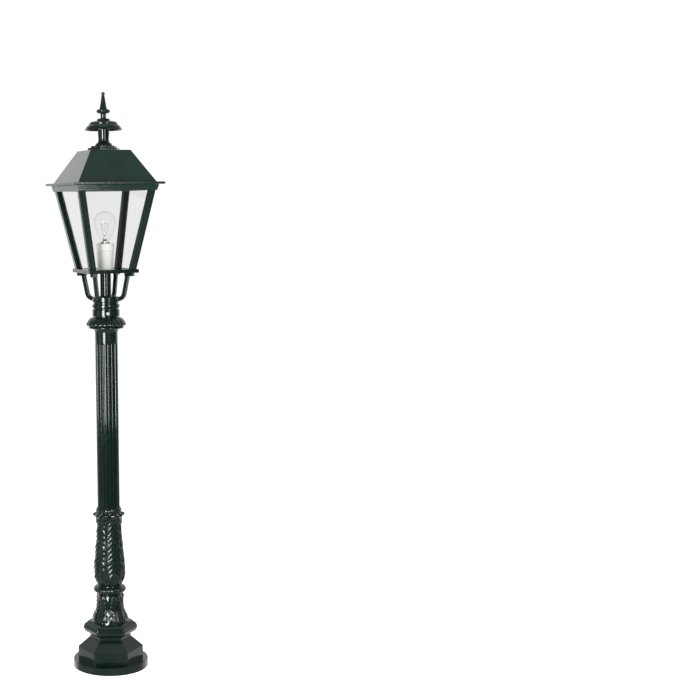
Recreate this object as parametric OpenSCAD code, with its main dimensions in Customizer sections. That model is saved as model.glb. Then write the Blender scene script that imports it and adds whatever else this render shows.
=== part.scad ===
// Street lamp post: a round foot plate, a hexagonal foot, leaf castings, a fluted shaft and a
// square tapered lantern that turns on a 60 mm spigot. Origin: centre of the foot plate's
// underside. +Z is up, and a flat of the hexagonal foot faces -Y.

/* [Foot] */
// Radius of the round foot plate
plate_r = 100; // [96:1:110]
// Thickness of the foot plate
plate_h = 20; // [16:1:24]
// Radius of the anchor holes
anchor_r = 5.5; // [4.5:0.5:6.5]
// Diameter of the circle that the anchor holes lie on
anchor_pcd = 110; // [106:2:114]
// Radius of the cable inlet in the foot plate
inlet_r = 12; // [10:1:14]
// Radius of the hexagonal foot, to its corners
foot_r = 87.5; // [86:0.5:92]
// Wall of the hexagonal foot
foot_wall = 7; // [6:0.5:8]

/* [Leaf castings] */
// Height of the lower leaf casting
pedestal_h = 75.3; // [70:1:80]
// Height of the beaded ring, with its two necks
ring_h = 24; // [23:0.5:28]
// Height of the leaf vase
vase_h = 182; // [175:1:190]
// Largest radius of the leaf vase
vase_r = 42.6; // [41:0.2:45]
// Height of the leaf collar round the foot of the shaft
collar_h = 29.3; // [27:0.5:32]

/* [Shaft] */
// Length of the fluted shaft
shaft_len = 472.3; // [300:1:900]
// Outer radius of the fluted shaft
shaft_r = 29.5; // [29:0.1:29.8]
// Number of flutes
flutes = 18; // [12:1:20]
// Radius of the cutter that shapes a flute
flute_r = 3.4; // [2.8:0.1:3.6]
// Inner radius of the shaft
shaft_bore_r = 23; // [20:0.5:24]
// Outer radius of the spigot
spigot_r = 30; // [30:0.1:31]
// Length of the smooth neck between the flutes and the capital
neck_len = 26.5; // [20:0.5:40]

/* [Capital] */
// Radius of the flat ring under the gadroons
capital_r = 46.2; // [44:0.2:48]
// Largest radius of the gadrooned skirt
skirt_r = 52.8; // [50:0.2:56]
// Height of the gadrooned skirt
skirt_h = 23.5; // [22:0.5:26]

/* [Bracket] */
// Turning clearance between the bracket and the spigot
turn_gap = 0.05; // [0.02:0.01:0.1]
// Radius of the bracket's bands
band_r = 36; // [35.5:0.1:38]
// Width of an arm
arm_w = 9.3; // [9:0.1:10]
// Depth of an arm, along its bend
arm_d = 11; // [10:0.2:12.8]
// Radius of the centre stem
stem_r = 14.5; // [13:0.5:16]

/* [Lantern] */
// Turn of the lantern about the post, in degrees
lantern_yaw = 19.5; // [0:0.5:45]
// Side of the bottom frame
frame_side = 136.6; // [134:0.2:140]
// Height of the glass cage between its frames
cage_h = 202.6; // [180:1:220]
// Side of the glass cage at the bottom
cage_low = 128.3; // [126:0.1:130]
// Side of the glass cage at the top
cage_high = 208; // [200:1:210]
// Width of a corner post
bar_w = 17; // [16:0.5:18]
// Thickness of the glass
glass_t = 3; // [2.6:0.2:3]
// Side of the roof's flange
flange_side = 245; // [236:1:250]
// Height of the roof's slope
slope_h = 82.8; // [70:0.5:100]
// Side of the roof where the slope starts
eave_side = 211; // [206:1:214]
// Side of the roof's flat top
crown_side = 109; // [100:1:120]
// Sheet thickness of the roof
roof_t = 3; // [2:0.5:4]

/* [Lamp] */
// Largest radius of the bulb
bulb_r = 30; // [28:0.5:30]
// Radius of the lampholder's upper ring
holder_r = 23.9; // [23:0.1:26]

/* [Hidden] */
$fn = 96;
fit = 0.1;         // clearance between pieces that slip over each other
lift = 0.3;        // clearance between pieces that turn or lift apart
green = [0.07, 0.15, 0.11];
steel = [0.7, 0.7, 0.72];

// heights of the stack, from the ground up
band_h = 30;       // upright band of the hexagonal foot
bevel_h = 27.5;    // its sloping faces
waist_h = 10.5;    // its waist, under the half-round
round_h = 30;      // its half-round
foot_step_h = 3.7; // its top step
bevel_z = plate_h + band_h;
waist_z = bevel_z + bevel_h;
round_z = waist_z + waist_h;
step_z = round_z + round_h;
foot_top = step_z + foot_step_h;
ring_z = foot_top + pedestal_h;
vase_z = ring_z + ring_h;
collar_z = vase_z + vase_h;
neck_z = collar_z + shaft_len;
capital_z = neck_z + neck_len;
flare_h = 9.6;     // flare below the capital's ring
capital_h = 16.4;  // flare and ring together
skirt_z = capital_z + capital_h;
bracket_z = skirt_z + skirt_h + 2;

// the capital's spigot and the tie rod through the post
spigot_top = bracket_z + 41.2;
spigot_wall = 4.5;
web_z = bracket_z + 6;
web_t = 6;
rod_r = 8;
rod_bore_r = 5.5;
rod_low = 80;
rod_high = web_z + web_t + 14;
nut_r = 13.5;
nut_h = 8;
washer_t = 2;
bridge_z = rod_low + 10;
bridge_t = 8;
bridge_half = 34;
bridge_w = 22;
foot_len = 12;
lug_t = 5;
lug_hole_x = bridge_half + foot_len / 2;
bridge_screw_r = 3;
bore_r = 27;       // bore of the leaf castings

// the bracket and the bottom frame
hub_h = 50.6;      // height of the turned bands
boss_h = 2.1;      // raised boss that the stem stands on
hub_top = bracket_z + hub_h;
stem_z = hub_top + boss_h;
frame_z = 1058.1;
frame_h = 9.7;
cage_z = frame_z + frame_h;
frame_open = 100;
floor_t = 2.5;
floor_side = 108;
floor_z = cage_z - 1.2 - floor_t;
screw_z = bracket_z + 7.7;
set_screw_r = 4;
set_screw_turn = -101; // first set screw, in the lantern's own directions
bend_r = 18;       // centreline radius of an arm's bend
bend_x = 36;       // distance of the bend's centre from the axis
arm_z = hub_top - arm_d / 2;
lean = 12;         // lean of an arm's upright, in degrees
lug_h = 9;         // lug under the frame's corner, at the end of an arm
lug_in = 56;       // from the axis to a lug's inner end
lug_out = 81.8;    // from the axis to its outer end
lug_z = frame_z - lug_h;
post_screw_at = 53.5;
post_screw_r = 2;
post_screw_head_r = 3.2;
post_screw_head_h = 2.4;
head_z = lug_z + lift; // the heads lie sunk in the lugs
tube_r = 6.5;      // threaded tube through the stem
tube_bore_r = 5;
tube_low = hub_top - 18;
stem_nut_h = 7;

// the cage, its glass and the frame on top of it
cage_top = cage_z + cage_h;
glass_in = 7;      // depth of the glass behind the cage's faces
groove_d = 4;      // depth of a glass groove
corner_r = 4;
top_frame_h = 15.2;
top_open = 168;
top_screw_at = 90.5;
roof_z = cage_top + top_frame_h + lift;
flange_h = 6.2;
lip_h = 5.6;
lip_t = 2.5;
slope_z = roof_z + flange_h;
crown_z = slope_z + slope_h;

// the chimney, its canopy and the finial
hex1_h = 6.7;
hex2_h = 5;
chimney_joint = crown_z + 29.2;
canopy_rim = 48.9;
canopy_top = crown_z + 76.6;
finial_rod_r = 4;
finial_rod_low = crown_z - 22;
finial_rod_high = canopy_top + 18;
ball_r = 4.9;

// the lampholder and the bulb
holder_z = cage_z - 1.2;
septum_z = holder_z + 30;
holder_joint = holder_z + 49;
holder_top = holder_joint + 18.4;
bulb_centre = 54;  // height of the bulb's widest place above the holder
cap_r = 13.2;
cap_low = holder_top - 20;
contact_low = cap_low - 4.2;
cap_high = holder_top + 3.5;
lead_r = 3.5;
lead_top = holder_z + 22;

// the lead's way from the terminal block to the tie rod, then straight up
lead_points = [
    [0, 33, 32], [0, 28, 32], [0, 20, 33], [0, 12, 37], [0, 6, 43], [0, 2, 51],
    [0, 0, 60], [0, 0, 70], [0, 0, 90], [0, 0, 500], [0, 0, 1000], [0, 0, lead_top]
];

// ---- shapes that repeat ----

function curve_point(a, b, c, d, t) =
    0.5 * (2 * b + (c - a) * t + (2 * a - 5 * b + 4 * c - d) * t * t
    + (3 * b - a - 3 * c + d) * t * t * t);

// a smooth curve through the points p
function smooth(p, steps = 4) = [
    for (i = [0:len(p) - 2], s = [0:steps - 1])
        curve_point(p[max(i - 1, 0)], p[i], p[i + 1], p[min(i + 2, len(p) - 1)], s / steps),
    p[len(p) - 1]
];

function arc(x, y, r, from, to, steps = 6) =
    [for (i = [0:steps]) let (a = from + (to - from) * i / steps) [x + r * cos(a), y + r * sin(a)]];

function square_outline(side) =
    let (h = side / 2) [[-h, -h], [h, -h], [h, h], [-h, h]];

function hexagon_outline(r) = [for (i = [0:5]) r * [cos(60 * i), sin(60 * i)]];

// a closed skin through outlines that have equally many points: sections = [[z, outline], ...]
module loft(sections) {
    n = len(sections[0][1]);
    m = len(sections);
    polyhedron(
        points = [for (s = sections, p = s[1]) [p[0], p[1], s[0]]],
        faces = concat(
            [[for (i = [0:n - 1]) i]],
            [[for (i = [n - 1:-1:0]) (m - 1) * n + i]],
            [for (k = [0:m - 2], i = [0:n - 1]) let (j = (i + 1) % n)
                [k * n + i, (k + 1) * n + i, (k + 1) * n + j, k * n + j]]
        )
    );
}

function round_outline(r, sides = 8) =
    [for (k = [0:sides - 1]) let (a = 360 * k / sides) r * [cos(a), sin(a)]];

// a rectangle of sides w and d with bevelled corners
function bevelled_outline(w, d, bevel) =
    let (x = w / 2, y = d / 2)
    [
        [x, bevel - y], [x, y - bevel], [x - bevel, y], [bevel - x, y],
        [-x, y - bevel], [-x, bevel - y], [bevel - x, -y], [x - bevel, -y]
    ];

// a bar of the given outline along the points p, which lie in a plane square to across
module sweep(p, outline, across) {
    last = len(p) - 1;
    rings = [
        for (i = [0:last])
            let (
                d = p[min(i + 1, last)] - p[max(i - 1, 0)],
                w = cross(across, d / norm(d))
            )
            [for (q = outline) p[i] + q[0] * across + q[1] * w]
    ];
    n = len(outline);
    polyhedron(
        points = [for (ring = rings, q = ring) q],
        faces = concat(
            [[for (i = [n - 1:-1:0]) i]],
            [[for (i = [0:n - 1]) last * n + i]],
            [for (k = [0:last - 1], i = [0:n - 1]) let (j = (i + 1) % n)
                [k * n + i, k * n + j, (k + 1) * n + j, (k + 1) * n + i]]
        )
    );
}

module turned(outline) {
    rotate_extrude() polygon(outline);
}

module tube(r, bore, h) {
    difference() {
        cylinder(r = r, h = h);
        translate([0, 0, -1]) cylinder(r = bore, h = h + 2);
    }
}

module at(z, turn = 0) {
    translate([0, 0, z]) rotate([0, 0, turn]) children();
}

module in_lantern() {
    rotate([0, 0, lantern_yaw]) children();
}

module four_times() {
    for (i = [0:3]) rotate([0, 0, 90 * i]) children();
}

module nut(bore) {
    difference() {
        cylinder(r = nut_r, h = nut_h, $fn = 6);
        translate([0, 0, -1]) cylinder(r = bore, h = nut_h + 2);
    }
}

// ---- the post ----

module base_plate() {
    color(green) difference() {
        turned([[0, 0], [plate_r, 0], [plate_r, plate_h - 1.5], [plate_r - 1.5, plate_h], [0, plate_h]]);
        translate([0, 0, -1]) cylinder(r = inlet_r, h = plate_h + 2);
        for (i = [0:3]) rotate([0, 0, 45 + 90 * i]) translate([anchor_pcd / 2, 0, -1])
            cylinder(r = anchor_r, h = plate_h + 2);
        for (x = [-lug_hole_x, lug_hole_x]) translate([x, 0, plate_h - 10])
            cylinder(r = bridge_screw_r + fit, h = 11);
    }
}

function foot_sections(inset) = [
    [plate_h, foot_r - inset], [bevel_z, foot_r - inset], [waist_z, 55 - inset],
    [round_z, 56 - inset], [round_z + 1, 63 - inset], [round_z + 6, 69.5 - inset],
    [round_z + 13, 72.5 - inset], [round_z + 18, 72.5 - inset], [round_z + 25, 68.5 - inset],
    [step_z, 61 - inset], [foot_top, 60.5 - inset]
];

// the hexagonal foot is hollow and open below, with a round bore through its top
module hex_foot() {
    outer = [for (s = foot_sections(0)) [s[0], hexagon_outline(s[1])]];
    inner = [for (s = foot_sections(foot_wall)) if (s[0] < step_z) [s[0], hexagon_outline(s[1])]];
    color(green) difference() {
        loft(outer);
        loft(concat([[plate_h - 1, inner[0][1]]], [for (i = [1:len(inner) - 1]) inner[i]]));
        translate([0, 0, step_z - 10]) cylinder(r = bore_r, h = 20);
    }
}

module leaf_pedestal() {
    color(green) at(foot_top) turned(concat(
        [[bore_r, 0]],
        smooth([[49.5, 0], [48.5, 7], [44.5, 18], [37.8, 31], [36.8, 44], [37.6, 57], [37.4, 66]]),
        [[35.6, 72], [32, pedestal_h], [bore_r, pedestal_h]]
    ));
}

module beaded_ring() {
    neck = 33;
    color(green) at(ring_z) turned(concat(
        [[bore_r, 0], [neck, 0]],
        arc(neck + 1.8, ring_h / 2, 8.5, -80, 80, 10),
        [[neck, ring_h], [bore_r, ring_h]]
    ));
}

module acanthus_vase() {
    color(green) at(vase_z) turned(concat(
        [[bore_r, 0]],
        smooth([
            [31, 0], [35.5, 8], [vase_r - 2, 20], [vase_r, 40], [vase_r - 1.2, 59],
            [38.2, 92], [33.6, 137], [32, 165], [33, vase_h]
        ], 3),
        [[bore_r, vase_h]]
    ));
}

module leaf_collar() {
    color(green) at(collar_z) turned(concat(
        [[shaft_r + fit, 0]],
        smooth([[33, 0], [36, 6], [39, 11], [37.5, 17], [33.5, 24], [31.5, collar_h]], 3),
        [[shaft_r + fit, collar_h]]
    ));
}

// one round-bottomed flute is cut for every step round the shaft, with a closed upper end
module fluted_shaft() {
    flute_at = shaft_r + 0.9;
    land = 2;
    color(green) difference() {
        at(collar_z) cylinder(r = shaft_r, h = shaft_len);
        at(collar_z - 1) cylinder(r = shaft_bore_r, h = shaft_len + 2);
        for (i = [0:flutes - 1]) rotate([0, 0, 360 / flutes * i]) translate([flute_at, 0, collar_z - 1])
            cylinder(r = flute_r, h = shaft_len - land + 1, $fn = 32);
    }
}

// the spigot's tube stands on the shaft, and its plug and its web close the post's stack
module spigot() {
    plug_len = 25;
    inner_r = spigot_r - spigot_wall;
    color(green) difference() {
        union() {
            at(neck_z) cylinder(r = spigot_r, h = spigot_top - neck_z);
            at(neck_z - plug_len) cylinder(r = shaft_bore_r - fit, h = plug_len + 1);
        }
        at(neck_z - plug_len - 1) cylinder(r = shaft_bore_r - 4, h = plug_len + 5);
        at(neck_z + 3) cylinder(r = inner_r, h = web_z - neck_z - 3);
        at(web_z - 1) cylinder(r = rod_r + fit, h = web_t + 2);
        at(web_z + web_t) cylinder(r = inner_r, h = spigot_top - web_z);
    }
}

module capital_ring() {
    color(green) at(capital_z) turned(concat(
        [[spigot_r + fit, 0]],
        smooth([[spigot_r + 0.6, 0], [spigot_r + 2.2, 4.5], [spigot_r + 5.5, flare_h]]),
        [[capital_r - 2, flare_h]],
        arc(capital_r - 1.5, flare_h + 2.6, 2, -60, 60, 4),
        [[capital_r - 2, flare_h + 5.4], [capital_r - 4, capital_h], [spigot_r + fit, capital_h]]
    ));
}

module gadroon_skirt() {
    color(green) at(skirt_z) turned(concat(
        [[spigot_r + fit, 0]],
        smooth([
            [skirt_r - 3, 0], [skirt_r, 2.5], [skirt_r - 2.5, 9], [46, 15.5], [40.3, 20.5],
            [34.4, skirt_h]
        ], 3),
        [[spigot_r + fit, skirt_h]]
    ));
}

// the bridge stands on the foot plate and holds the tie rod's lower end
module rod_bridge() {
    leg_h = bridge_z - plate_h;
    leg_t = 6;
    color("silver") difference() {
        union() {
            translate([-bridge_half, -bridge_w / 2, bridge_z]) cube([2 * bridge_half, bridge_w, bridge_t]);
            for (side = [0, 180]) at(plate_h, side) {
                translate([bridge_half - leg_t, -bridge_w / 2, 0]) cube([leg_t, bridge_w, leg_h + 1]);
                translate([bridge_half - 1, -bridge_w / 2, 0]) cube([foot_len + 1, bridge_w, lug_t]);
            }
        }
        at(bridge_z - 1) cylinder(r = rod_r + fit, h = bridge_t + 2);
        for (x = [-lug_hole_x, lug_hole_x]) translate([x, 0, plate_h - 1])
            cylinder(r = bridge_screw_r + fit, h = lug_t + 2);
    }
}

module bridge_screws() {
    color(steel) for (x = [-lug_hole_x, lug_hole_x]) translate([x, 0, plate_h - 9]) {
        cylinder(r = bridge_screw_r, h = 9 + lug_t);
        translate([0, 0, 9 + lug_t]) difference() {
            cylinder(r = 5, h = 5);
            translate([0, 0, 2]) cylinder(r = 2.9, h = 4, $fn = 6);
        }
    }
}

module tie_rod() {
    color(steel) at(rod_low) tube(rod_r, rod_bore_r, rod_high - rod_low);
}

module rod_washers() {
    color(steel) {
        at(web_z + web_t) tube(16, rod_r + fit, washer_t);
        at(bridge_z - washer_t) tube(10.5, rod_r + fit, washer_t);
    }
}

module rod_nuts() {
    color(steel) {
        at(web_z + web_t + washer_t) nut(rod_r + fit);
        at(bridge_z - washer_t - nut_h) nut(rod_r + fit);
    }
}

// a two-pole block on the foot plate, with a clamping screw over each way
module terminal_block() {
    block = [24, 20, 20];
    color("ivory") difference() {
        translate([-block[0] / 2, 30, plate_h]) cube(block);
        translate([0, 29, 32]) rotate([-90, 0, 0]) cylinder(r = lead_r + fit, h = 5);
        for (x = [-6, 6]) translate([x, 40, plate_h + block[2] - 6]) cylinder(r = 2.5, h = 7);
    }
}

module supply_lead() {
    color([0.15, 0.15, 0.15]) sweep(lead_points, round_outline(lead_r), [1, 0, 0]);
}

// ---- the lantern ----

// turned bands over the spigot, and one curved arm to each corner of the lantern
module arm_bracket() {
    groove = band_r - 3.2;
    bore = spigot_r + turn_gap;
    cup_h = spigot_top + lift - bracket_z;
    color(green) in_lantern() difference() {
        union() {
            at(bracket_z) turned([
                [0, 0], [band_r - 0.6, 0], [band_r, 0.6], [band_r, 17], [band_r - 0.6, 17.6],
                [groove, 18.2], [groove, 21.4], [band_r - 0.6, 22], [band_r, 24], [band_r, 29],
                [band_r - 0.6, 31], [groove, 31.6], [groove, 37], [band_r - 0.4, 37.8],
                [band_r - 0.4, hub_h - 1], [band_r - 1.4, hub_h], [17, hub_h], [16, hub_h + boss_h],
                [0, hub_h + boss_h]
            ]);
            four_times() rotate([0, 0, 45]) arm();
        }
        at(bracket_z - 1) cylinder(r = bore, h = cup_h + 1);
        at(bracket_z) cylinder(r = tube_r + fit, h = hub_h + boss_h + 1);
        four_times() translate([post_screw_at, post_screw_at, lug_z - 1]) {
            cylinder(r = post_screw_r + fit, h = lug_h + 2);
            cylinder(r = post_screw_head_r + 2 * fit, h = head_z + post_screw_head_h - lug_z + 1);
        }
        set_screw_places() cylinder(r = set_screw_r + 0.05, h = band_r);
    }
}

// an arm leaves the hub level, bends up, and leans outwards to the lug under the frame
module arm() {
    bend = arc(bend_x, arm_z + bend_r, bend_r, -90, -lean, 8);
    bend_end = bend[len(bend) - 1];
    rise = lug_z + 2 - bend_end[1];
    way = concat([[spigot_r + 1, arm_z]], bend, [bend_end + rise * [tan(lean), 1]]);
    sweep([for (p = way) [p[0], 0, p[1]]], bevelled_outline(arm_w, arm_d, 1.2), [0, 1, 0]);
    translate([lug_in, -arm_w / 2, lug_z]) cube([lug_out - lug_in, arm_w, lug_h]);
}

module set_screw_places() {
    for (i = [0:2]) at(screw_z, set_screw_turn + 120 * i) rotate([0, 90, 0]) children();
}

module set_screws() {
    tip = spigot_r + 2 * fit;
    color("silver") in_lantern() set_screw_places() difference() {
        translate([0, 0, tip]) cylinder(r = set_screw_r, h = band_r + 0.4 - tip);
        translate([0, 0, band_r - 3]) cylinder(r = 2.3, h = 5, $fn = 6);
    }
}

module stem() {
    color(green) at(stem_z) tube(stem_r, tube_r + fit, frame_z + frame_h - 1.2 - floor_t - stem_z);
}

module stem_tube() {
    color(steel) at(tube_low) tube(tube_r, tube_bore_r, holder_z + 12 - tube_low);
}

module stem_nuts() {
    nut_across = 11;
    color(steel) for (z = [spigot_top + lift - stem_nut_h, holder_z + 3]) at(z) difference() {
        cylinder(r = nut_across, h = stem_nut_h, $fn = 6);
        translate([0, 0, -1]) cylinder(r = tube_r + fit, h = stem_nut_h + 2);
    }
}

module bottom_frame() {
    color(green) in_lantern() difference() {
        at(frame_z) linear_extrude(frame_h) square(frame_side, center = true);
        at(frame_z - 1) linear_extrude(frame_h + 2) square(frame_open, center = true);
        at(floor_z) linear_extrude(frame_h) square(floor_side + 0.4, center = true);
        four_times() translate([post_screw_at, post_screw_at, frame_z - 1])
            cylinder(r = post_screw_r + fit, h = frame_h + 2);
    }
}

module floor_plate() {
    color(green) in_lantern() difference() {
        at(floor_z) linear_extrude(floor_t) difference() {
            square(floor_side, center = true);
            for (x = [-1, 1], y = [-1, 1]) translate([x, y] * floor_side / 2) square(9, center = true);
        }
        at(floor_z - 1) cylinder(r = tube_r + fit, h = floor_t + 2);
    }
}

module post_screws() {
    bite = 12;
    color(steel) in_lantern() four_times() translate([post_screw_at, post_screw_at, head_z]) {
        cylinder(r = post_screw_head_r, h = post_screw_head_h);
        cylinder(r = post_screw_r, h = cage_z + bite - head_z);
    }
}

// half the side of the cage at height z
function cage_half(z) = (cage_low + (cage_high - cage_low) * (z - cage_z) / cage_h) / 2;

function bar_section(z) =
    let (h = cage_half(z), c = h - corner_r)
    [z, concat([[h - bar_w, h - bar_w], [h, h - bar_w]], arc(c, c, corner_r, 0, 90, 5), [[h - bar_w, h]])];

// outline of the glass at height z, spread out into the grooves and set in from the face
function glass_section(z, side_gap, face_gap) =
    let (
        h = cage_half(z),
        x = h - bar_w + groove_d - side_gap,
        front = h - glass_in + face_gap,
        back = h - glass_in - glass_t - face_gap
    )
    [z, [[-x, -front], [x, -front], [x, -back], [-x, -back]]];

// a leaning bar with a glass groove along each of its two inner sides
module corner_post(i) {
    z1 = cage_z;
    z2 = cage_top;
    color(green) in_lantern() rotate([0, 0, 90 * i]) difference() {
        loft([bar_section(z1), bar_section(z2)]);
        for (turn = [90, 180]) rotate([0, 0, turn])
            loft([glass_section(z1 - 1, 0, 0.2), glass_section(z2 + 1, 0, 0.2)]);
        translate([post_screw_at, post_screw_at, z1 - 1]) cylinder(r = post_screw_r + fit, h = 14);
        translate([top_screw_at, top_screw_at, z2 - 12]) cylinder(r = 2 + fit, h = 13);
    }
}

module glass_pane(i) {
    color([0.85, 0.9, 0.9, 0.3]) in_lantern() rotate([0, 0, 90 * i])
        loft([glass_section(cage_z + lift, 0.3, 0), glass_section(cage_top - lift, 0.3, 0)]);
}

// three stepped bands round a square opening
module top_frame() {
    color(green) in_lantern() difference() {
        for (band = [[0, 5, 214], [5, 5, 217], [10, 5.2, 220]]) at(cage_top + band[0])
            linear_extrude(band[1]) square(band[2], center = true);
        at(cage_top - 1) linear_extrude(top_frame_h + 2) square(top_open, center = true);
        four_times() translate([top_screw_at, top_screw_at, cage_top - 1]) {
            cylinder(r = 2 + fit, h = top_frame_h + 2);
            translate([0, 0, top_frame_h - 2]) cylinder(r = 4 + fit, h = 5);
        }
    }
}

module top_screws() {
    color(steel) in_lantern() four_times() translate([top_screw_at, top_screw_at, cage_top - 11]) {
        cylinder(r = 2, h = top_frame_h + 8);
        translate([0, 0, top_frame_h + 8]) difference() {
            cylinder(r = 4, h = 2.8);
            translate([-3, -0.4, 1.8]) cube([6, 0.8, 2]);
        }
    }
}

// ---- the lampholder and the bulb ----

module holder_body() {
    color("white") at(holder_z) difference() {
        turned([
            [0, 0], [20.6, 0], [21, 0.8], [22.6, 47.5], [22.2, 49], [0, 49]
        ]);
        translate([0, 0, 3]) cylinder(r = 17.5, h = 24);
        translate([0, 0, -1]) cylinder(r = tube_r + fit, h = 5);
        translate([0, 0, 30]) cylinder(r = 15.2, h = 20);
        for (x = [-8, 8]) translate([x, 0, 25]) cylinder(r = 1.5, h = 10);
    }
}

module holder_ring() {
    h = holder_top - holder_joint;
    color("white") at(holder_joint) turned([
        [14.9, 0], [holder_r - 0.8, 0], [holder_r, 0.8], [holder_r, h - 1.6],
        [holder_r - 1.6, h], [16, h], [14.9, h - 1]
    ]);
}

module holder_shell() {
    floor_h = 1.5;
    color("goldenrod") at(septum_z) difference() {
        cylinder(r = 14.7, h = holder_top - 2 - septum_z);
        translate([0, 0, floor_h]) cylinder(r = 13.7, h = 60);
        translate([0, 0, -1]) cylinder(r = 5, h = floor_h + 2);
    }
}

// a bent spring tongue under the bulb's centre contact
module holder_contact() {
    tongue_t = 1;
    post_h = contact_low - lift - tongue_t - septum_z;
    color("goldenrod") at(septum_z) {
        cylinder(r = 3, h = post_h + tongue_t / 2);
        translate([-4, -4, post_h]) cube([8, 8, tongue_t]);
    }
}

// outline of the bulb's outside, from its neck up to its top, set in by t
function bulb_outline(t) = concat(
    smooth([
        [11.9 - t, -9], [11.9 - t, 0], [12 - t, 3.6], [13.6 - t, 7.5], [17.4 - t, 16.5],
        [22.7 - t, 29], [27.6 - t, 41.5]
    ], 3),
    arc(0, bulb_centre, bulb_r - t, -18, 90, 12)
);

module bulb_glass() {
    wall = 0.9;
    inside = bulb_outline(wall);
    color([0.9, 0.95, 1, 0.3]) at(holder_top) turned(concat(
        bulb_outline(0), [for (i = [len(inside) - 1:-1:0]) inside[i]]
    ));
}

// glass stem inside the bulb, which carries the filament's wires
module bulb_mount() {
    color([0.9, 0.95, 1, 0.4]) at(cap_high + 0.5) turned(concat(
        [[0, 0]], smooth([[9.5, 0], [6.5, 5], [4.2, 12], [3.6, 22], [2, 29], [1.4, 34]]), [[0, 34]]
    ));
}

module bulb_cap() {
    outer = concat(
        [[cap_r - 3, 0]],
        [for (i = [0:20]) [cap_r - 0.35 + 0.35 * sin(120 * i), 2 + 0.9 * i]],
        [[cap_r, 22], [cap_r, cap_high - cap_low], [cap_r - 1.1, cap_high - cap_low]]
    );
    color("silver") at(cap_low) turned(concat(
        outer, [[cap_r - 1.1, 22], [cap_r - 1.1, 2.6], [cap_r - 3.4, 0.6], [cap_r - 3.4, 0]]
    ));
}

module bulb_insulator() {
    color("black") at(cap_low - 3) turned([
        [0, 0], [4, 0], [9.6, 2.9], [9.6, 3.5], [0, 3.5]
    ]);
}

module bulb_contact() {
    color("silver") at(contact_low) cylinder(r = 3.6, h = 1.2);
}

module filament_leads() {
    wire = 0.4;
    foot_at = cap_high + 12;
    color(steel) for (side = [0, 180]) rotate([0, 0, side]) {
        translate([5, 0, foot_at]) rotate([0, 12, 0]) cylinder(r = wire, h = 37, $fn = 16);
    }
    color(steel) for (a = [60, 120]) at(cap_high + 32.5, a) translate([2.4, 0, 0])
        rotate([0, 38, 0]) cylinder(r = wire / 2, h = 17, $fn = 16);
}

// a long bow of coiled wire between the two leads
module filament() {
    bow_r = 13;
    color(steel) at(cap_high + 49.7) rotate_extrude(angle = 180)
        translate([bow_r, 0]) circle(r = 0.6, $fn = 16);
}

// ---- the roof ----

// flange, slope and crown in one shell, with a lip that drops inside the top frame
module roof_shell() {
    eave_in = eave_side - 2 * roof_t;
    color(green) in_lantern() difference() {
        union() {
            at(roof_z) linear_extrude(flange_h) square(flange_side, center = true);
            loft([[slope_z, square_outline(eave_side)], [crown_z, square_outline(crown_side)]]);
            at(roof_z - lip_h) linear_extrude(lip_h + 1) difference() {
                square(top_open - 1.2, center = true);
                square(top_open - 1.2 - 2 * lip_t, center = true);
            }
        }
        at(roof_z - 1) linear_extrude(flange_h + 1.01) square(top_open - 1.2 - 2 * lip_t, center = true);
        loft([
            [slope_z, square_outline(eave_in - 6)],
            [crown_z - roof_t, square_outline(crown_side - 2 * roof_t)]
        ]);
        at(crown_z - roof_t - 1) {
            cylinder(r = finial_rod_r + fit, h = roof_t + 2);
            for (i = [0:5]) rotate([0, 0, 60 * i]) translate([12, 0, 0]) cylinder(r = 3, h = roof_t + 2);
        }
    }
}

// two hexagonal steps and a turned cove, hollow so that warm air can rise
module chimney_base() {
    color(green) difference() {
        union() {
            in_lantern() {
                at(crown_z) cylinder(r = 44, h = hex1_h, $fn = 6);
                at(crown_z + hex1_h - 1) cylinder(r = 35.5, h = hex2_h + 1, $fn = 6);
            }
            at(crown_z + hex1_h + hex2_h) turned(concat(
                [[0, -1], [22, -1], [22.4, 1.5], [20.6, 6.8], [17.6, 7]],
                smooth([[16, 8.6], [14.6, 13], [14, 17.5]]),
                [[0, 17.5]]
            ));
        }
        at(crown_z - 1) cylinder(r = 16, h = hex1_h + 1);
        at(crown_z) cylinder(r = 10.5, h = chimney_joint - crown_z + 1);
    }
}

// flared neck and umbrella in one casting, open underneath
module canopy() {
    neck_h = 38;
    flare = [
        [15.2, 23], [16.4, 33], [24, 36.5], [34, 35.6], [42, 30.4],
        [canopy_rim - 2.2, 24.6], [canopy_rim - 1, 23]
    ];
    color(green) at(chimney_joint) difference() {
        turned(concat(
            [[10.5, 0], [13.9, 0], [14.2, 4], [14.9, 14]],
            flare,
            [[canopy_rim, 23.4]],
            smooth([[47.5, 26], [43.7, 31.7], [36.6, 38]], 3),
            [
                [37, 39], [37, 41], [32.8, 44.6], [29.7, 45], [22.7, 47.3], [0, 47.4],
                [0, neck_h + 4], [10.5, neck_h]
            ]
        ));
        cylinder(r = finial_rod_r + fit, h = 60);
        for (i = [0:5]) rotate([0, 0, 60 * i]) translate([8, 0, 26]) rotate([0, 90, 0])
            cylinder(r = 2.5, h = 12);
    }
}

module finial_rod() {
    color(steel) at(finial_rod_low) cylinder(r = finial_rod_r, h = finial_rod_high - finial_rod_low);
}

module roof_washer() {
    color(steel) at(crown_z - roof_t - 1.6) tube(9, finial_rod_r + fit, 1.6);
}

module roof_nut() {
    h = 6.5;
    color(steel) at(crown_z - roof_t - 1.6 - h) difference() {
        cylinder(r = 7.5, h = h, $fn = 6);
        translate([0, 0, -1]) cylinder(r = finial_rod_r + fit, h = h + 2);
    }
}

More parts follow.
